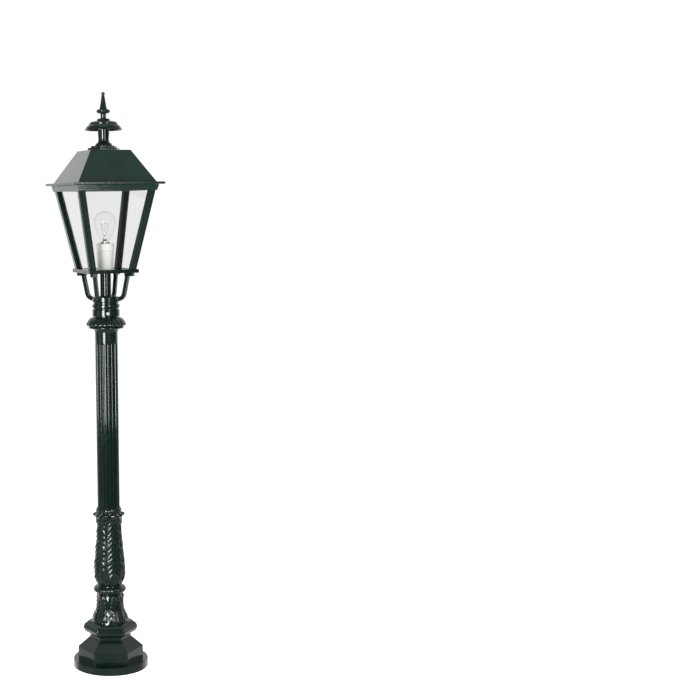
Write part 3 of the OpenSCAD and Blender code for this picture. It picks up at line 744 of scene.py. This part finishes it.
BAND_R = 36.0       # the hub's turned bands
HUB_H = 50.6
HUB_BORE = 30.05
TUBE_BORE = 6.6     # holes for the threaded tube up the lantern's middle
ARM_WIDE, ARM_DEEP = 9.3, 11.0     # an arm's section, across and along its bend
BEND_R = 18.0
BEND_X = 36.0       # distance of the bend's centre from the axis
ARM_LEAN = 12.0
LUG_IN, LUG_OUT, LUG_H = 56.0, 81.8, 9.0    # the lug under the frame's corner, out from the axis
LUG_SCREW = 75.7    # distance of its screw from the axis


def bracket_hub():
    """Three turned bands parted by grooves, with a low boss on top."""
    z0 = low("arm_bracket")
    r = BAND_R
    groove = r - 3.2
    top, boss_top, ceiling = z0 + HUB_H, z0 + 52.7, z0 + 42
    outline = [
        (HUB_BORE, z0), (r - 0.6, z0), (r, z0 + 0.6), (r, z0 + 17), (r - 0.6, z0 + 17.6),
        (groove, z0 + 18.2), (groove, z0 + 21.4), (r - 0.6, z0 + 22), (r, z0 + 24), (r, z0 + 29),
        (r - 0.6, z0 + 31), (groove, z0 + 31.6), (groove, z0 + 37), (r - 0.4, z0 + 37.8),
        (r - 0.4, top - 1), (r - 1.4, top), (17, top), (16, boss_top), (TUBE_BORE, boss_top),
        (TUBE_BORE, ceiling), (HUB_BORE, ceiling),
    ]
    return turned(rounded(outline, 0.9, 4))


def arm_way():
    """Centre line of an arm, in the plane through the axis: level, round the bend, then up and
    outwards to the lug."""
    z0 = low("arm_bracket") + HUB_H - ARM_DEEP / 2
    bend = arc(BEND_X, z0 + BEND_R, BEND_R, -90, -ARM_LEAN, 12)
    top = high("arm_bracket") - 6
    x, z = bend[-1]
    rise = top - z
    end = (x + rise * math.tan(math.radians(ARM_LEAN)), top)
    return [(31, z0), (35, z0)] + bend + [((x + end[0]) / 2, (z + top) / 2), end]


def bracket_arm(quarter):
    """An arm with soft edges, towards a corner of the lantern."""
    bar = rounded([(-ARM_WIDE / 2, -ARM_DEEP / 2), (ARM_WIDE / 2, -ARM_DEEP / 2),
                   (ARM_WIDE / 2, ARM_DEEP / 2), (-ARM_WIDE / 2, ARM_DEEP / 2)], 1.5, 4)
    way = [(x, 0, z) for x, z in arm_way()]
    return in_lantern(moved(swept(way, bar, (0, 1, 0)), about_z(45)), quarter)


def arm_lug(quarter):
    """The lug under the frame's corner, with a round recess for a screw's head."""
    z1 = high("arm_bracket")
    z0 = z1 - LUG_H
    floor_z = z0 + 2.9    # floor of the recess
    recess_r = 3.4
    middle, longer = (LUG_IN + LUG_OUT) / 2, (LUG_OUT - LUG_IN - ARM_WIDE) / 2
    side = ARM_WIDE / 2
    block = rounded([(side - 0.2, z0), (side, z0), (side, z1), (0.2, z1)], 0.9, 4, 10)
    walls = rings(block, lambda r: oblong(r + longer, r, 1.2))
    sample = oblong(side + longer, side, 1.2)
    steps = [(0.1, floor_z), (recess_r, floor_z), (recess_r, z0 + 0.3), (recess_r + 0.2, z0)]
    recess = [[(x + LUG_SCREW - middle, y, z) for x, y in with_angles_of(sample, r)] for r, z in steps]
    lug = moved(skin(recess + walls), Matrix.Translation((middle, 0, 0)))
    return in_lantern(moved(lug, about_z(45)), quarter)


def bracket():
    return joined(bracket_hub(), *[arm(q) for q in range(4) for arm in (bracket_arm, arm_lug)])


SET_SCREW_TURN = -101.0 + LANTERN_YAW    # direction of one of the three screws


def set_screw(turn):
    """A socket set screw in the hub's lowest band, with a hexagonal recess in its end."""
    z = low("arm_bracket") + 7.7
    end, rim, inner = BAND_R + 0.35, BAND_R + 0.05, BAND_R - 5.4
    r, socket_floor = 4.0, BAND_R - 3
    head = hexagon(2.3, 0.1)
    outside = [(0.05, inner), (r, inner), (r, rim), (r - 0.4, end)]
    rows = [[(x, y, out) for x, y in with_angles_of(head, q)] for q, out in outside]
    socket = [(1, end), (1, socket_floor), (0.02, socket_floor - 0.2)]
    rows += [[(x * size, y * size, out) for x, y in head] for size, out in socket]
    stand = Matrix.Translation((0, 0, z)) @ about_z(turn) @ Matrix.Rotation(math.pi / 2, 4, "Y")
    return moved(skin(rows, loop=False), stand)


def stem():
    z0, z1 = low("stem"), high("stem")
    r = reach("stem")
    return turned(rounded([(TUBE_BORE, z0), (r, z0), (r, z1), (TUBE_BORE, z1)], 0.8, 3))


piece("arm_bracket_casting", bracket(), green, "lantern", "green_paint", "arm_bracket")
piece("socket_set_screws", joined(*[set_screw(SET_SCREW_TURN + 120 * k) for k in range(3)]),
      stainless, "lantern", "stainless", "set_screws")
piece("stem_casting", stem(), green, "lantern", "green_paint", "stem")


# ---- the lantern's frames, posts and glass ----

def bottom_frame():
    """A square ring with a ledge inside that the floor plate lies on."""
    z0, z1 = low("bottom_frame"), high("bottom_frame")
    half, opening, over_ledge = lantern_half("bottom_frame"), 50, 54.2
    ledge = high("floor_plate") - 2.5
    outline = [(opening, z0), (half, z0), (half, z1), (over_ledge, z1), (over_ledge, ledge),
               (opening, ledge)]
    return in_lantern(skin(rings(rounded(outline, 0.7, 3), lambda r: square(r, 0.8))))


def cage_half(z):
    """Half the side of the glass cage at a height."""
    z0, z1 = low("corner_post_1"), high("corner_post_1")
    at_low = lantern_half("corner_post_1", to_z=z0 + 1)
    at_high = lantern_half("corner_post_1", from_z=z1 - 1)
    return at_low + (at_high - at_low) * (z - z0) / (z1 - z0)


BAR_W = 17.0
NOSE_R = 4.0


def bar_outline(h):
    """Section of a corner bar: a round nose at the corner between two quirks, flat faces, a small
    bead beside the glass, and the groove that holds it."""
    inner = h - BAR_W
    half_side = [
        (inner, h - 10.2), (inner + 4, h - 10.2), (inner + 4, h - 6.8), (inner, h - 6.8),
        (inner, h - 1.0), (inner + 1.0, h - 0.2), (inner + 2.4, h - 0.2), (inner + 3.0, h - 1.1),
        (inner + 3.6, h - 0.1), (h - 6.2, h - 0.1), (h - 5.6, h - 1.2), (h - 5.0, h - 0.2),
    ]
    nose = arc(h - NOSE_R, h - NOSE_R, NOSE_R, 90, 0, 8)
    other = [(y, x) for x, y in reversed(half_side)]
    return [(inner, inner)] + half_side + nose + other


def corner_bar(quarter):
    z0, z1 = low("corner_post_1"), high("corner_post_1")
    rows = [[(x, y, z) for x, y in bar_outline(cage_half(z))] for z in (z0, z1)]
    return in_lantern(skin(rows, loop=False), quarter)


def top_frame():
    """A square cornice of three bands, each standing out over the one below."""
    z0, z1 = low("top_frame"), high("top_frame")
    half, opening = lantern_half("top_frame"), 84
    outline = [(opening, z0), (half - 3, z0), (half - 3, z0 + 5), (half - 1.5, z0 + 5),
               (half - 1.5, z0 + 10), (half, z0 + 10), (half, z1), (opening, z1)]
    return in_lantern(skin(rings(rounded(outline, 0.6, 3), lambda r: square(r, 0.9))))


def faces_inwards(centre, normal):
    """Whether a face of a corner bar looks towards the bulb."""
    return normal.xy.dot(centre.xy.normalized()) < -0.3


piece("bottom_frame_casting", bottom_frame(), green_drawn, "lantern", "green_paint", "bottom_frame")
for k in range(4):
    piece(f"corner_bar_{k + 1}", corner_bar(k), green_drawn, "lantern", "green_paint",
          f"corner_post_{k + 1}", sharp=28, second=green_inner, where=faces_inwards)
piece("cornice_casting", top_frame(), green_flat, "lantern", "green_paint", "top_frame")


# ---- the roof ----

ROD_BORE = 4.2      # holes for the finial's rod
VENT_R = 10.5       # the chimney's inside


def roof():
    """Flange, slope and crown in one shell, with a lip that drops inside the cornice."""
    lip = low("roof_shell")
    lip_in, lip_out = 80.9, 83.4
    bottom = high("top_frame") + 0.3
    slope = bottom + 6.2
    crown = high("roof_shell")
    edge = lantern_half("roof_shell")
    outline = [
        (lip_in, lip), (lip_out, lip), (lip_out, bottom), (edge, bottom), (edge, slope), (106.2, slope),
        (105.5, slope + 0.7), (54.5, crown), (ROD_BORE, crown), (ROD_BORE, crown - 3), (51.5, crown - 3),
        (99.5, slope + 0.2), (lip_in, slope + 0.2),
    ]
    return in_lantern(skin(rings(rounded(outline, 0.9, 3), lambda r: square(r, 1.3))))


def chimney():
    """Two hexagonal steps and a turned cove, hollow so that warm air can rise."""
    z0, z1 = low("chimney_base"), high("chimney_base")
    lower, upper = z0 + 6.7, z0 + 11.7    # tops of the two steps
    # both ends are trimmed, because the steps are only part of the outline
    steps = rounded([(43.8, z0), (43.8, lower - 0.1), (35.4, lower), (35.4, upper - 0.1), (27, upper)],
                    0.8, 3)[2:-3]
    sample = hexagon(30, 1.5)
    rows = rings(steps, lambda r: hexagon(r, 1.5))
    torus = [(24, upper), (21.9, upper + 0.5), (22.3, z0 + 14), (21.7, z0 + 16.2), (20.4, z0 + 18.4)]
    cove = [(17.7, z0 + 18.7)] + curve([(16.4, z0 + 20), (14.8, z0 + 24), (14, z1)], 5)
    inside = [(VENT_R, z1), (VENT_R, lower), (16, lower), (16, z0)]
    rows += [[(x, y, z) for x, y in with_angles_of(sample, r)]
             for r, z in rounded(torus + cove + inside, 0.5, 3)]
    return in_lantern(skin(rows))


def canopy():
    """Flared neck and umbrella in one casting, open underneath."""
    z0, z1 = low("canopy"), high("canopy")
    rim = reach("canopy")
    neck_side = [(VENT_R, z0), (13.9, z0), (14.2, z0 + 4), (14.9, z0 + 14), (15.2, z0 + 23),
                 (16.4, z0 + 33)]
    under = curve([(24, z0 + 36.5), (34, z0 + 35.4), (42, z0 + 30.2), (rim - 2.4, z0 + 24.4)], 4)
    lip = [(rim - 1.2, z0 + 22.9), (rim, z0 + 23.2)]
    dome = curve([(rim - 0.2, z0 + 24.2), (47.7, z0 + 27), (45.2, z0 + 30.8), (42, z0 + 34.4),
                  (37.8, z0 + 37.6)], 5)
    top = [(37.2, z0 + 38.6), (37.2, z0 + 40.9), (32.8, z0 + 44.4), (29.8, z0 + 45), (22.7, z0 + 47.2),
           (ROD_BORE, z1), (ROD_BORE, z0 + 42), (VENT_R, z0 + 38)]
    return turned(rounded(neck_side + under + lip + dome + top, 0.6, 3))


def finial():
    """A turned spindle on two small discs, with a ball on its tip."""
    z0, z1 = low("finial"), high("finial")
    bore, ball_r = 4.1, 4.9
    discs = [(bore, z0), (16.3, z0), (17.5, z0 + 2.4), (14.6, z0 + 5), (7.9, z0 + 5.4)]
    waist = curve([(7.5, z0 + 6.6), (7.2, z0 + 11), (7.5, z0 + 16.6)], 3)
    discs += waist + [(8.2, z0 + 18), (14.3, z0 + 18.3), (15, z0 + 20)]
    disc = curve([(16.9, z0 + 20.8), (18.1, z0 + 24.3), (15.5, z0 + 28), (11.6, z0 + 29.4)], 4)
    spindle = curve([(9.9, z0 + 30), (8.2, z0 + 38), (6.2, z0 + 50), (4.0, z0 + 64.2)], 5)
    ball = arc(0, z1 - ball_r, ball_r, -52, 90, 12)
    inside = [(0, z0 + 20), (bore, z0 + 20)]
    # the last corner's points are dropped, so that the spindle runs into the ball
    return turned(rounded(discs + disc + spindle, 0.5, 3)[:-4] + ball + inside, 96)


def on_flange_edge(centre, normal):
    """Whether a face of the roof is on the rim of its flange, which is left as cast."""
    return abs(normal.z) < 0.6 and centre.z < high("top_frame") + 7 and centre.xy.length > 118


def on_chimney_step(centre, normal):
    """Whether a face of the chimney is on an upright side of its steps, left as cast."""
    return abs(normal.z) < 0.5 and centre.z < low("chimney_base") + 12 and centre.xy.length > 29


piece("roof_casting", roof(), green_flat, "roof", "green_paint", "roof_shell",
      second=green_rough, where=on_flange_edge)
piece("chimney_casting", chimney(), green_drawn, "roof", "green_paint", "chimney_base",
      second=green_rough, where=on_chimney_step)
piece("canopy_casting", canopy(), green_drawn, "roof", "green_paint", "canopy")
piece("finial_spindle", finial(), green_drawn, "finial", "green_paint", "finial")


# ---- the lampholder and the bulb ----

def holder():
    """A cup for the bulb's cap above, and a hollow for the wires below."""
    z0, z1 = low("holder_body"), high("holder_body")
    cup_r, hollow_r, wire_r = 15.2, 17.5, 5
    outline = [(TUBE_BORE, z0), (20.6, z0), (21, z0 + 0.8), (22.6, z1 - 1.5), (22.2, z1), (cup_r, z1),
               (cup_r, z0 + 30), (wire_r, z0 + 30), (wire_r, z0 + 27), (hollow_r, z0 + 27),
               (hollow_r, z0 + 3), (TUBE_BORE, z0 + 3)]
    return turned(rounded(outline, 0.8, 4))


def holder_ring():
    z0, z1 = low("holder_ring"), high("holder_ring")
    r, bore = reach("holder_ring"), 14.9
    outline = [(bore, z0), (r, z0), (r, z1), (bore, z1)]
    return turned(rounded(outline, 1.3, 5))


BULB_R = 30.0


def bulb_outline(inset):
    """Side of an A60 bulb, from its cap to its top, that far inside the outer face."""
    neck_h, neck_r = 9, 11.9
    z = low("bulb_glass") + neck_h
    points = [(neck_r, -neck_h), (neck_r, 0), (12, 3.6), (13.6, 7.5), (17.4, 16.5), (22.7, 29),
              (27.6, 41.5)]
    neck_side = curve([(r - inset, z + h) for r, h in points], 6)
    return neck_side + arc(0, z + 54, BULB_R - inset, -17, 90, 18)


def bulb_glass():
    wall = 0.7
    return turned(bulb_outline(0.0) + bulb_outline(wall)[::-1], 96)


def bulb_mount():
    """Flared glass stem, pinched flat at its top, with a thin rod and a button above."""
    z = low("bulb_mount")
    flare = curve([(9.5, z), (6.8, z + 3), (4.6, z + 8), (3.6, z + 14)], 5)
    rod = [(2.4, z + 17), (1.1, z + 18.5), (0.9, z + 31), (1.9, z + 31.8), (1.9, z + 33.2), (0, z + 34)]
    return turned([(0, z)] + flare + rounded(rod, 0.4, 3)[:-4] + [(0, z + 34)], 48)


def wire(way, r, sides=10, across=(0, 1, 0)):
    return swept(way, circle(r, sides), across)


LEAD_SPREAD = 12.6    # how far the leads' tips stand from the axis
LEAD_TURN = 35.0      # direction of the filament's ends
WIRE_R = 0.35


def leads():
    """Two lead wires from the stem to the filament's ends, and two thin supports for its middle."""
    z0 = low("filament_leads")
    top = high("filament_leads") - 1.2
    ends = []
    for side in (-1, 1):
        way = curve([(side * 2.4, 0, z0 - 1), (side * 3.4, 0, z0 + 6), (side * 7.4, 0, z0 + 20),
                     (side * LEAD_SPREAD, 0, top - 1), (side * (LEAD_SPREAD - 0.6), 0, top)], 5)
        ends.append(wire(way, WIRE_R))
    hub_z = low("bulb_mount") + 32.5
    for a in (60, 120):
        x, y = polar(1, a)
        way = [(0, 0, hub_z), (3 * x, 3 * y, hub_z + 4), (7.5 * x, 7.5 * y, top - 0.4)]
        ends.append(wire(curve(way, 5), WIRE_R / 2, 8, (y, -x, 0)))
    return moved(joined(*ends), about_z(LEAD_TURN))


def filament():
    """Coiled wire in a bow from one lead, over the supports, to the other."""
    top = high("filament_leads") - 0.8
    coil_r, wire_r, turns = 0.55, 0.11, 62
    steps = turns * 8
    way = []
    for i in range(steps + 1):
        t = i / steps
        a = math.pi * (1 - t)
        centre = Vector(((LEAD_SPREAD - 0.6) * math.cos(a), 7.0 * math.sin(a), top + 0.5 * math.sin(a)))
        out = Vector((math.cos(a), math.sin(a), 0))
        spin = 2 * math.pi * turns * t
        way.append(centre + out * (coil_r * math.cos(spin)) + Vector((0, 0, coil_r * math.sin(spin))))
    return moved(wire(way, wire_r, 5, (0, 0, 1)), about_z(LEAD_TURN))


piece("holder_body_porcelain", holder(), porcelain, "lantern", "porcelain", "holder_body")
piece("holder_ring_porcelain", holder_ring(), porcelain, "lantern", "porcelain", "holder_ring")
piece("lamp_bulb", bulb_glass(), lamp_film, "bulb", "lamp_glass", "bulb_glass", weighted=False)
piece("lamp_stem_glass", bulb_mount(), lamp_glass, "bulb", "lamp_glass", "bulb_mount")
piece("lamp_lead_wires", leads(), lead_metal, "bulb", "tungsten", "filament_leads")
piece("lamp_filament_coil", filament(), tungsten, "bulb", "tungsten", "filament")


# ---- CAD nodes that stay ----

CAD_LOOKS = {
    green: ["base_plate", "floor_plate"],
    zinc: ["rod_bridge", "bridge_screws", "tie_rod", "rod_washers", "rod_nuts", "stem_tube", "stem_nuts",
           "post_screws", "top_screws", "finial_rod", "roof_washer", "roof_nut"],
    terminal_plastic: ["terminal_block"],
    rubber: ["supply_lead"],
    pane_glass: [f"glass_pane_{k}" for k in range(1, 5)],
    brass: ["holder_shell", "holder_contact", "bulb_contact"],
    cap_metal: ["bulb_cap"],
    black_glass: ["bulb_insulator"],
}
for look, names in CAD_LOOKS.items():
    for name in names:
        for slot in frame["nodes"][name].material_slots:
            slot.material = look


# ---- studio ----

CAMERA_AT = (0, -3.572, 1.2288)
CAMERA_DOWN = 6.0       # degrees below level
CAMERA_LEAN = 0.80      # degrees of roll, for the post's lean in the photograph


def camera():
    """Looks along +Y and a little down, with the post at the left of the picture."""
    data = bpy.data.cameras.new("camera")
    data.sensor_width = 36
    data.lens = 69.94
    data.shift_x = 0.3478
    obj = bpy.data.objects.new("camera", data)
    bpy.context.scene.collection.objects.link(obj)
    obj.location = CAMERA_AT
    obj.rotation_mode = "QUATERNION"
    pitch = Quaternion((1, 0, 0), math.radians(90 - CAMERA_DOWN))
    obj.rotation_quaternion = pitch @ Quaternion((0, 0, 1), math.radians(-CAMERA_LEAN))
    bpy.context.scene.camera = obj


LIGHT_DISTANCE = 2.6


def strip_light(name, direction, height, size, watts):
    """A soft strip light that stands in a direction, in degrees right of the camera's side."""
    data = bpy.data.lights.new(name, "AREA")
    data.shape = "RECTANGLE"
    data.size, data.size_y = size
    data.energy = watts
    obj = bpy.data.objects.new(name, data)
    bpy.context.scene.collection.objects.link(obj)
    obj.location = (*polar(LIGHT_DISTANCE, FRONT + direction), height)
    aim = Vector((0, 0, height * 0.9)) - obj.location
    obj.rotation_euler = aim.to_track_quat("-Z", "Y").to_euler()
    obj.visible_camera = False


# Brightness all round the studio: degrees right of the camera's side, and how bright it is there.
# There is a white backdrop behind the lamp, and a dim grey screen at the left.
AROUND = [
    (-180, 0.45), (-168, 0.5), (-158, 0.66), (-134, 0.66), (-122, 0.45), (-113, 0.02), (-90, 0.02),
    (-86, 0.26), (-56, 0.26), (-52, 0.015), (105, 0.015), (118, 0.45), (140, 0.62), (160, 0.55),
    (180, 0.45),
]
STUDIO_STRENGTH = 1.95
WHITE_STRENGTH = 1.02


def world():
    """White to the camera, also straight through glass. To the lamp it is a dark studio with the
    screens of AROUND, a little light above the horizon, a ceiling and a pale table."""
    made = bpy.data.worlds.new("studio")
    bpy.context.scene.world = made
    made.use_nodes = True
    tree = made.node_tree
    tree.nodes.clear()
    add, link = tree.nodes.new, tree.links.new

    def sums(operation, first, second):
        node = add("ShaderNodeMath")
        node.operation = operation
        for socket, value in zip(node.inputs, (first, second)):
            if isinstance(value, bpy.types.NodeSocket):
                link(value, socket)
            else:
                socket.default_value = value
        return node.outputs[0]

    def eased_between(value, start, end, low_value, high_value):
        node = add("ShaderNodeMapRange")
        node.interpolation_type = "SMOOTHSTEP"
        link(value, node.inputs["Value"])
        limits = {"From Min": start, "From Max": end, "To Min": low_value, "To Max": high_value}
        for key, number in limits.items():
            node.inputs[key].default_value = number
        return node.outputs["Result"]

    split = add("ShaderNodeSeparateXYZ")
    link(add("ShaderNodeTexCoord").outputs["Generated"], split.inputs[0])
    x, y, z = split.outputs
    angle = sums("ARCTAN2", x, sums("MULTIPLY", y, -1.0))
    share = sums("ADD", sums("DIVIDE", angle, 2 * math.pi), 0.5)
    ramp = add("ShaderNodeValToRGB")
    link(share, ramp.inputs[0])
    elements = ramp.color_ramp.elements
    while len(elements) < len(AROUND):
        elements.new(0.5)
    for element, (degrees, value) in zip(elements, AROUND):
        element.position = (degrees + 180) / TURN
        element.color = (value, value, value, 1)
    screens = sums("MULTIPLY", ramp.outputs[0], eased_between(z, 0.32, 0.42, 1.0, 0.52))
    over_horizon = eased_between(z, -0.02, 0.04, 0.0, 1.0)
    above = sums("MULTIPLY", over_horizon, eased_between(x, 0.15, 0.45, 0.05, 0.18))
    ceiling = eased_between(z, 0.90, 0.99, 0.0, 0.40)
    table = eased_between(z, -0.315, -0.285, 0.24, 0.0)
    lit = sums("MAXIMUM", sums("MAXIMUM", screens, above), sums("MAXIMUM", ceiling, table))
    studio = add("ShaderNodeBackground")
    studio.inputs["Strength"].default_value = STUDIO_STRENGTH
    link(lit, studio.inputs["Color"])
    white = add("ShaderNodeBackground")
    white.inputs["Color"].default_value = (1, 1, 1, 1)
    white.inputs["Strength"].default_value = WHITE_STRENGTH
    path = add("ShaderNodeLightPath").outputs
    straight = sums("MAXIMUM", path["Is Camera Ray"], path["Is Transmission Ray"])
    bounces = sums("ADD", path["Glossy Depth"], path["Diffuse Depth"])
    seen = sums("MULTIPLY", straight, sums("LESS_THAN", bounces, 0.5))
    mix = add("ShaderNodeMixShader")
    link(seen, mix.inputs[0])
    link(studio.outputs[0], mix.inputs[1])
    link(white.outputs[0], mix.inputs[2])
    link(mix.outputs[0], add("ShaderNodeOutputWorld").inputs["Surface"])


def floor():
    """A round pale floor with a soft contact shadow. It can be seen through from below."""
    n = Nodes("pale_floor")
    grain = n.noise(3, 2)
    pale = n.between(grain, (0.80, 0.80, 0.80), (0.82, 0.82, 0.82))
    matt = n.add("ShaderNodeBsdfDiffuse", {"Color": pale})
    glow = n.add("ShaderNodeEmission", {"Color": (1, 1, 1, 1), "Strength": 0.76})
    pale_side = n.add("ShaderNodeAddShader", {0: matt.outputs[0], 1: glow.outputs[0]})
    under = n.add("ShaderNodeNewGeometry").outputs["Backfacing"]
    clear = n.add("ShaderNodeBsdfTransparent")
    both = n.add("ShaderNodeMixShader", {0: under, 1: pale_side.outputs[0], 2: clear.outputs[0]})
    n.finish(both.outputs[0])
    verts, faces = skin([[(x, y, 0) for x, y in circle(r, 64)] for r in (6.0, 0.01)], loop=False)
    mesh = bpy.data.meshes.new("floor")
    mesh.from_pydata(verts, [], faces[:-2])
    mesh.materials.append(n.material)
    obj = bpy.data.objects.new("floor", mesh)
    bpy.context.scene.collection.objects.link(obj)
    obj.visible_glossy = False


camera()
strip_light("key_strip", -22.5, 1.32, (0.80, 2.16), 122)
strip_light("fill_strip", 28.5, 1.55, (0.56, 1.5), 24)
world()
floor()
bpy.context.scene.view_settings.view_transform = "Standard"
